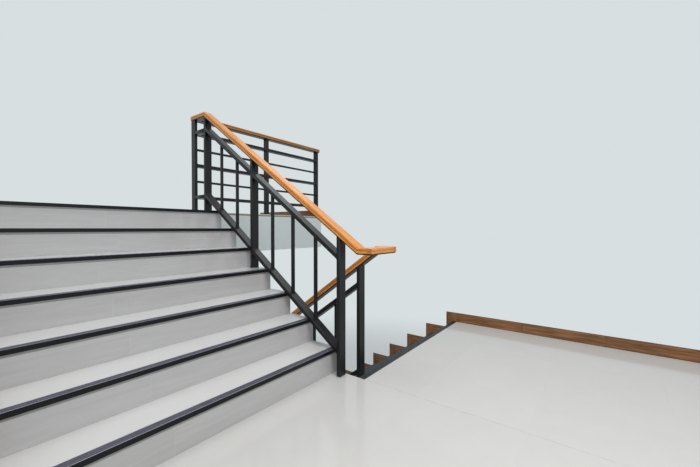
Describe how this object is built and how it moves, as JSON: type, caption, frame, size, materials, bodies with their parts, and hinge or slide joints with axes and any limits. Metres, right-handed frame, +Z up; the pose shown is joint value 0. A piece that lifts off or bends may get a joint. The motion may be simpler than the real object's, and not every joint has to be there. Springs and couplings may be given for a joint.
{
  "type": "indoor fire escape stair",
  "caption": "Tiled concrete dog-leg escape stair with half landing, black nosing strips, flat steel tube railing, wooden handrail and floor-edge guard",
  "frame": {"origin": "middle of the half landing slab's edge face that bears in the wall behind the landing", "axes": "+X across the stair from the upper flight to the lower flight, +Y from the wall along the upper flight, +Z up"},
  "size_m": [3.6, 5.49, 3.449],
  "materials": {
    "concrete": "smooth painted plaster",
    "floor_tile": "polished, off-white",
    "riser_tile": "polished, pale grey",
    "nosing": "anodised black, ribbed",
    "black_steel": "satin black paint",
    "handrail_wood": "orange-brown varnish",
    "brown_skirting": "wood-look tile"
  },
  "bodies": {
    "root": {"half_landing_slab": "concrete", "up_flight": "concrete", "down_flight": "concrete", "floor_slab": "concrete", "landing_tiles": "floor_tile", "floor_tiles": "floor_tile", "up_treads": "floor_tile", "down_treads": "floor_tile", "up_risers": "riser_tile", "down_risers": "riser_tile", "up_nosings": "nosing", "down_nosings": "nosing", "landing_nosing": "nosing", "up_newel": "black_steel", "up_middle_post": "black_steel", "up_top_post": "black_steel", "down_newel": "black_steel", "down_middle_post": "black_steel", "down_foot_post": "black_steel", "guard_corner_post": "black_steel", "guard_middle_post": "black_steel", "guard_wall_post": "black_steel", "up_bottom_rail": "black_steel", "up_sub_rail": "black_steel", "down_bottom_rail": "black_steel", "down_sub_rail": "black_steel", "return_rails": "black_steel", "guard_rails": "black_steel", "guard_bars": "black_steel", "up_balusters": "black_steel", "down_balusters": "black_steel", "up_rail_flat": "black_steel", "turn_rail_flat": "black_steel", "down_rail_flat": "black_steel", "guard_rail_flat": "black_steel", "up_handrail": "handrail_wood", "turn_handrail": "handrail_wood", "down_handrail": "handrail_wood", "guard_handrail": "handrail_wood", "landing_skirting": "brown_skirting", "up_skirting": "brown_skirting", "down_skirting": "brown_skirting", "floor_skirting": "brown_skirting"}
  },
  "joints": []
}
